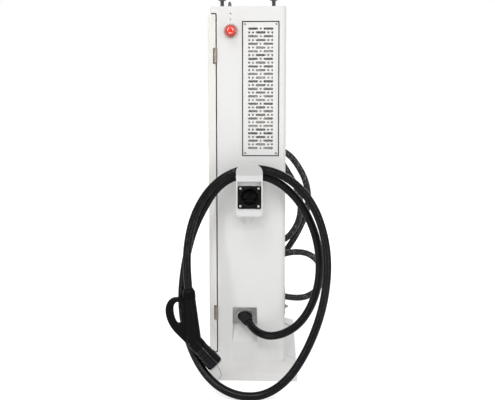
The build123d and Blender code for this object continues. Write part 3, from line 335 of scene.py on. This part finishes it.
def mat_foam(name):
    """Open-pored pale filter foam."""
    shader = Shader(name)
    pores = shader.cells(420.0)
    base = shader.blend(shader.spread(pores, 0.1, 0.6), (0.60, 0.59, 0.57), (0.80, 0.79, 0.76))
    shader.set(Base_Color=base, Roughness=0.95)
    shader.bump(pores, 0.0015, 1.0)
    return shader.material


def screen(name):
    """Switched-off cover glass over a dark panel, with faint wiping marks."""
    shader = Shader(name)
    wipe = shader.spread(shader.noise(14.0, 6.0, 0.6, shader.stretched((1.0, 3.0, 0.6))), 0.35, 0.75)
    shader.set(Base_Color=shader.blend(wipe, (0.008, 0.010, 0.013), (0.016, 0.019, 0.024)))
    shader.set(Roughness=shader.spread(wipe, 0.0, 1.0, 0.04, 0.12), Coat_Weight=0.6, Coat_Roughness=0.03)
    shader.bump(shader.noise(4.0, 1.0), 0.0002, 0.2)
    return shader.material


def circuit_board(name):
    """Green board with a grid of paler tracks."""
    shader = Shader(name)
    tracks = shader.node(
        "ShaderNodeTexBrick",
        {"Vector": shader.coords, "Scale": 60.0, "Mortar Size": 0.06},
    ).outputs["Fac"]
    shader.set(Base_Color=shader.blend(tracks, (0.012, 0.10, 0.045), (0.03, 0.20, 0.09)), Roughness=0.35)
    shader.bump(tracks, 0.0003, 0.5)
    return shader.material


# Warm grey white of the cabinet and its neighbours.
WHITE = (0.765, 0.763, 0.752)
IVORY = (0.80, 0.785, 0.75)
BAND = (0.75, 0.74, 0.725)
FINISH = {
    "body_white": powder_coat("body_white", WHITE),
    "door_white": powder_coat("door_white", IVORY, 0.34),
    "plinth_white": powder_coat("plinth_white", BAND, 0.46, 0.03),
    # The holster's grey is painted shade: darker than the cabinet's white, standing in for the shade on its
    # leaning lip and lower front.
    "holster_grey": powder_coat("holster_grey", (0.655, 0.655, 0.65), 0.4),
    "grille_steel": powder_coat("grille_steel", (0.775, 0.772, 0.76), 0.4),
    "baffle_grey": powder_coat("baffle_grey", (0.78, 0.76, 0.72), 0.5),
    "galvanised": bare_metal("galvanised", (0.50, 0.51, 0.52), 0.38, spangle=0.5),
    "dark_galvanised": bare_metal("dark_galvanised", (0.46, 0.46, 0.45), 0.45, spangle=0.35),
    "zinc": bare_metal("zinc", (0.56, 0.56, 0.54), 0.32),
    "hinge_steel": bare_metal("hinge_steel", (0.42, 0.37, 0.32), 0.4, rust=0.35),
    "screw_copper": bare_metal("screw_copper", (0.34, 0.27, 0.22), 0.35, rust=0.3),
    "brass_bolt": bare_metal("brass_bolt", (0.42, 0.36, 0.28), 0.35, rust=0.3),
    "black_plastic": moulded("black_plastic", (0.003, 0.003, 0.0035), 0.36, 0.4, 0.0, 1100.0, 0.09),
    "gloss_black": moulded("gloss_black", (0.0018, 0.0018, 0.0026), 0.07, 0.05, 0.0, 1100.0, 0.24),
    "cable_black": cable_sheath("cable_black"),
    "seal_rubber": moulded("seal_rubber", (0.02, 0.02, 0.02), 0.7, 0.8, 0.0, 600.0),
    "boot_rubber": moulded("boot_rubber", (0.014, 0.014, 0.014), 0.55, 0.8, 0.0, 700.0),
    "estop_red": moulded("estop_red", (0.70, 0.035, 0.018), 0.34, 0.2, 0.25),
    "collar_metal": bare_metal("collar_metal", (0.78, 0.60, 0.57), 0.2, (14.0, 1.0, 1.0)),
    "screen_glass": screen("screen_glass"),
    "filter_dark": mat_foam("filter_dark"),
    "module_grey": bare_metal("module_grey", (0.52, 0.53, 0.54), 0.4),
    "breaker_grey": moulded("breaker_grey", (0.12, 0.125, 0.13), 0.5),
    "board_green": circuit_board("board_green"),
    "cap_grey": moulded("cap_grey", (0.40, 0.40, 0.40), 0.35, 0.3, 0.1),
}
FILM = film_wrap("film_wrap")
MARK_WHITE = moulded("mark_white", (0.86, 0.86, 0.85), 0.4, 0.2)
WIRE = moulded("wire_black", (0.02, 0.02, 0.02), 0.4, 0.3)
BROWN = moulded("brown_dot", (0.035, 0.018, 0.009), 0.4, 0.2)

for part in frame["record"]["subparts"]:
    node = frame["nodes"][part["node"]]
    node.data.materials.clear()
    node.data.materials.append(FINISH[part["material_slot"]])
frame["nodes"]["lock_handle"].data.materials[0] = FINISH["gloss_black"]
EYEBOLT_STEEL = bare_metal("eyebolt_steel", (0.20, 0.20, 0.19), 0.42)
frame["nodes"]["lifting_eyebolts"].data.materials[0] = EYEBOLT_STEEL


# ---------------------------------------------------------------- mesh helpers
def new_piece(name, mesh, material, body, smooth=True):
    piece = bpy.data.objects.new(name, mesh)
    bpy.context.scene.collection.objects.link(piece)
    piece.data.materials.clear()
    piece.data.materials.append(material)
    if smooth:
        for polygon in mesh.polygons:
            polygon.use_smooth = True
    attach(piece, body)
    return piece


def finished_mesh(builder, name):
    """The builder's faces as a mesh, with all normals outward."""
    bmesh.ops.recalc_face_normals(builder, faces=builder.faces)
    mesh = bpy.data.meshes.new(name)
    builder.to_mesh(mesh)
    builder.free()
    return mesh


def skin(builder, rings, closed=False):
    """Faces between neighbouring rings of vertices; a ring of one vertex is a point."""
    pairs = list(zip(rings, rings[1:]))
    if closed:
        pairs.append((rings[-1], rings[0]))
    for low, high in pairs:
        count = max(len(low), len(high))
        for step in range(count):
            after = (step + 1) % count
            lower = [low[step % len(low)], low[after % len(low)]]
            upper = [high[after % len(high)], high[step % len(high)]]
            distinct = list(dict.fromkeys(lower + upper))
            if len(distinct) > 2:
                builder.faces.new(distinct)


def lathe(name, profile, place, segments=64, closed=False):
    """A turned mesh: profile is (radius, height) from the axis back to the axis, or a closed loop."""
    builder = bmesh.new()
    rings = []
    for radius, height in profile:
        if radius == 0:
            rings.append([builder.verts.new(place @ Vector((0, 0, height)))])
            continue
        ring = []
        for step in range(segments):
            angle = 2 * math.pi * step / segments
            point = Vector((radius * math.cos(angle), radius * math.sin(angle), height))
            ring.append(builder.verts.new(place @ point))
        rings.append(ring)
    skin(builder, rings, closed)
    return finished_mesh(builder, name)


def placed(origin, axis, along=(1, 0, 0)):
    """A matrix with its +Z along axis, at origin."""
    z = Vector(axis).normalized()
    x = (Vector(along) - z * Vector(along).dot(z)).normalized()
    y = z.cross(x)
    turn = Matrix((x, y, z)).transposed().to_4x4()
    return Matrix.Translation(Vector(origin)) @ turn


def spline_curve(name, points, radius, material, body="root"):
    """A round cord along one smooth NURBS spline."""
    curve = bpy.data.curves.new(name, "CURVE")
    curve.dimensions = "3D"
    curve.bevel_depth = radius
    curve.bevel_resolution = 10
    curve.resolution_u = 10
    curve.use_fill_caps = True
    spline = curve.splines.new("NURBS")
    spline.points.add(len(points) - 1)
    for control, point in zip(spline.points, points):
        control.co = (*point, 1.0)
    spline.order_u = 3
    spline.use_endpoint_u = True
    curve.materials.append(material)
    piece = bpy.data.objects.new(name, curve)
    bpy.context.scene.collection.objects.link(piece)
    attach(piece, body)
    return piece


# ---------------------------------------------------------------- charging cables
CABLE_R = CABLE_DIAMETER / 2
near_cable = spline_curve("near_cable", NEAR_POINTS, CABLE_R, FINISH["cable_black"])
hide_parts("charging_cable_right")
far_cable = spline_curve("far_cable", FAR_POINTS, CABLE_R, FILM)
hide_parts("charging_cable_left")

# ---------------------------------------------------------------- emergency stop marks
stop_low, stop_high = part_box("estop_head")
stop_centre = Vector(((stop_low.x + stop_high.x) / 2, stop_low.y, (stop_low.z + stop_high.z) / 2))
ARC_R = 0.0108
ARC_WIDTH = 0.0019
ARC_RISE = 0.0004
ARC_COUNT = 3
ARC_START = math.radians(74)
ARC_SWEEP = math.radians(-84)
ARC_STEPS = 14
ARC_SHAFT = 0.72        # part of an arrow's sweep that is shaft, before its head


def arc_arrow(builder, start, sweep, face_y):
    """One flat curved arrow on the stop's face, seen from -Y."""
    inner = []
    outer = []
    shaft = sweep * ARC_SHAFT
    for step in range(ARC_STEPS + 1):
        angle = start + shaft * step / ARC_STEPS
        for radius, line in ((ARC_R - ARC_WIDTH / 2, inner), (ARC_R + ARC_WIDTH / 2, outer)):
            line.append((stop_centre.x + radius * math.cos(angle), stop_centre.z + radius * math.sin(angle)))
    end = start + shaft
    tip = start + sweep
    head = []
    for radius, angle in ((ARC_R + ARC_WIDTH * 1.2, end), (ARC_R, tip), (ARC_R - ARC_WIDTH * 1.2, end)):
        head.append((stop_centre.x + radius * math.cos(angle), stop_centre.z + radius * math.sin(angle)))
    outline = outer + head + inner[::-1]
    front = [builder.verts.new((x, face_y - ARC_RISE, z)) for x, z in outline]
    back = [builder.verts.new((x, face_y + ARC_RISE, z)) for x, z in outline]
    builder.faces.new(front)
    builder.faces.new(back[::-1])
    for index in range(len(outline)):
        after = (index + 1) % len(outline)
        builder.faces.new((front[index], front[after], back[after], back[index]))


builder = bmesh.new()
for turn in range(ARC_COUNT):
    arc_arrow(builder, ARC_START + 2 * math.pi * turn / ARC_COUNT, ARC_SWEEP, stop_low.y)
arrow_mesh = finished_mesh(builder, "estop_arrows")
new_piece("estop_arrows", arrow_mesh, MARK_WHITE, "stop_head", smooth=False)

# ---------------------------------------------------------------- cap cord and mark on the hanging gun
GUN_ELBOW = Vector((-0.2215, -0.485, 0.2154))
NOSE_AXIS = Vector((0.6691, 0.0, -0.7431))
CAP_STUB = 0.1405           # from the elbow to the end of the cap's stub
CAP_CORD_DIAMETER = 0.0016
stub_end = GUN_ELBOW + NOSE_AXIS * CAP_STUB
CAP_CORD = [
    stub_end + NOSE_AXIS * -0.002,
    stub_end + NOSE_AXIS * 0.006,
    stub_end + Vector((0.0105, -0.002, -0.016)),
    stub_end + Vector((0.0160, -0.003, -0.030)),
    stub_end + Vector((0.0140, -0.004, -0.041)),
    stub_end + Vector((0.0060, -0.004, -0.047)),
]
cap_cord = spline_curve("cap_cord", CAP_CORD, CAP_CORD_DIAMETER / 2, WIRE)

# Small release mark on the gun's side, at the elbow.
MARK_SPOT = GUN_ELBOW + Vector((-0.012, -0.0295, -0.004))
MARK_OUTLINE = [(0, -0.0006), (0.0042, -0.0006), (0.0042, 0.0018), (0.0034, 0.0026), (0, 0.0028)]
mark_mesh = lathe("release_mark", MARK_OUTLINE, placed(MARK_SPOT, (-0.15, -1, -0.1)), 24)
new_piece("release_mark", mark_mesh, BROWN, "root")

# ---------------------------------------------------------------- ring lips round the dummy sockets
SOCKET_X = -0.005
SOCKET_TILT = math.radians(13)
WINDOW_BOTTOM_Y = 0.42      # out to the inclined plate's lower edge, on either side
WINDOW_BOTTOM_Z = 0.705
SOCKET_UP = 0.066           # from that edge to the socket's centre, along the plate
LIP_OUTLINE = [
    (0.0345, 0.0040),
    (0.0345, 0.0062),
    (0.0355, 0.0068),
    (0.0372, 0.0068),
    (0.0382, 0.0060),
    (0.0382, 0.0040),
]
for side, name in ((-1, "right"), (1, "left")):
    outward = Vector((0, side * math.cos(SOCKET_TILT), math.sin(SOCKET_TILT)))
    socket_y = side * (WINDOW_BOTTOM_Y - SOCKET_UP * math.sin(SOCKET_TILT))
    socket_z = WINDOW_BOTTOM_Z + SOCKET_UP * math.cos(SOCKET_TILT)
    place = placed((SOCKET_X, socket_y, socket_z), outward)
    lip_mesh = lathe(f"socket_lip_{name}", LIP_OUTLINE, place, 72, closed=True)
    new_piece(f"socket_lip_{name}", lip_mesh, FINISH["gloss_black"], "root")

# ---------------------------------------------------------------- painted shade round the grilles: black strips standing in for the shaded gap between each grille and its cutout
SHADE_STRIP_WIDTH = 0.0042
SHADE_STRIP_RISE = 0.0006        # over the grille's face
SHADE_STRIP_DEPTH = 0.0012       # under the grille's face
SHADE_STRIP_LAP = 0.0008         # over the grille's edge
for side, name in ((-1, "right"), (1, "left")):
    low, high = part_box(f"grille_{name}")
    face_y = low.y if side < 0 else high.y
    outer_edge = SHADE_STRIP_WIDTH - SHADE_STRIP_LAP
    section = (
        (-SHADE_STRIP_LAP, -SHADE_STRIP_DEPTH),
        (-SHADE_STRIP_LAP, SHADE_STRIP_RISE),
        (outer_edge, SHADE_STRIP_RISE),
        (outer_edge, -SHADE_STRIP_DEPTH),
    )
    builder = bmesh.new()
    rings = []
    for spread, rise in section:
        ring = []
        for x, z in ((low.x, low.z), (high.x, low.z), (high.x, high.z), (low.x, high.z)):
            out_x = spread if x == high.x else -spread
            out_z = spread if z == high.z else -spread
            ring.append(builder.verts.new((x + out_x, face_y + side * rise, z + out_z)))
        rings.append(ring)
    skin(builder, rings, closed=True)
    shade_strip_mesh = finished_mesh(builder, f"grille_gap_shade_{name}")
    gap_shade_black = FINISH["seal_rubber"]
    new_piece(f"grille_gap_shade_{name}", shade_strip_mesh, gap_shade_black, "root", smooth=False)

# ---------------------------------------------------------------- stage
# The camera sees the floor and the background brighter than they light the post.
FLOOR_SIZE = 14.0
FLOOR_Z = -0.0005
FLOOR_GLOW = 0.56
FLOOR_FILL = 0.12
WORLD_LIGHT = 0.56
WORLD_SEEN = 1.0

floor_builder = bmesh.new()
bmesh.ops.create_grid(floor_builder, x_segments=8, y_segments=8, size=FLOOR_SIZE)
floor_mesh = bpy.data.meshes.new("floor")
floor_builder.to_mesh(floor_mesh)
floor_builder.free()
floor = bpy.data.objects.new("floor", floor_mesh)
floor.location.z = FLOOR_Z
bpy.context.scene.collection.objects.link(floor)
floor_shader = Shader("floor_pale")
floor_cloud = floor_shader.spread(floor_shader.noise(1.5, 3.0), 0.3, 0.7)
floor_base = floor_shader.blend(floor_cloud, (0.72, 0.72, 0.72), (0.75, 0.75, 0.75))
floor_shader.set(Base_Color=floor_base, Roughness=0.8)
floor_seen = floor_shader.node("ShaderNodeLightPath").outputs["Is Camera Ray"]
floor_glow = floor_shader.spread(floor_seen, 0.0, 1.0, FLOOR_FILL, FLOOR_GLOW)
floor_shader.set(Emission_Color=(1.0, 1.0, 1.0), Emission_Strength=floor_glow)
floor_mesh.materials.append(floor_shader.material)

world = bpy.data.worlds.new("studio")
bpy.context.scene.world = world
world.use_nodes = True
background = world.node_tree.nodes["Background"]
background.inputs["Color"].default_value = (1.0, 1.0, 1.0, 1.0)
light_path = world.node_tree.nodes.new("ShaderNodeLightPath")
seen_range = world.node_tree.nodes.new("ShaderNodeMapRange")
seen_range.inputs["To Min"].default_value = WORLD_LIGHT
seen_range.inputs["To Max"].default_value = WORLD_SEEN
world.node_tree.links.new(light_path.outputs["Is Camera Ray"], seen_range.inputs["Value"])
world.node_tree.links.new(seen_range.outputs["Result"], background.inputs["Strength"])


def area_light(name, place, target, size, power):
    data = bpy.data.lights.new(name, "AREA")
    data.shape = "RECTANGLE"
    data.size, data.size_y = size
    data.energy = power
    light = bpy.data.objects.new(name, data)
    light.location = place
    direction = Vector(target) - Vector(place)
    light.rotation_euler = direction.to_track_quat("-Z", "Y").to_euler()
    bpy.context.scene.collection.objects.link(light)


area_light("strip_left", (-2.4, -3.4, 0.9), (0, -0.3, 0.4), (0.05, 2.4), 23)
area_light("strip_right", (2.4, -3.5, 1.5), (0, -0.3, 0.4), (0.05, 3.4), 34)
area_light("strip_top", (0.0, -3.2, 2.4), (0, -0.4, 0.0), (2.2, 0.05), 14)
area_light("rear", (0.5, 3.6, 1.6), (0, 0, 0.7), (2.4, 2.0), 40)

SUN_ENERGY = 0.62
SUN_ANGLE = math.radians(22)
SUN_DIRECTION = Vector((0.9, 3.0, -3.9))
sun_data = bpy.data.lights.new("overhead_bank", "SUN")
sun_data.energy = SUN_ENERGY
sun_data.angle = SUN_ANGLE
sun = bpy.data.objects.new("overhead_bank", sun_data)
sun.rotation_euler = SUN_DIRECTION.to_track_quat("-Z", "Y").to_euler()
bpy.context.scene.collection.objects.link(sun)

bpy.context.scene.view_settings.view_transform = "Standard"
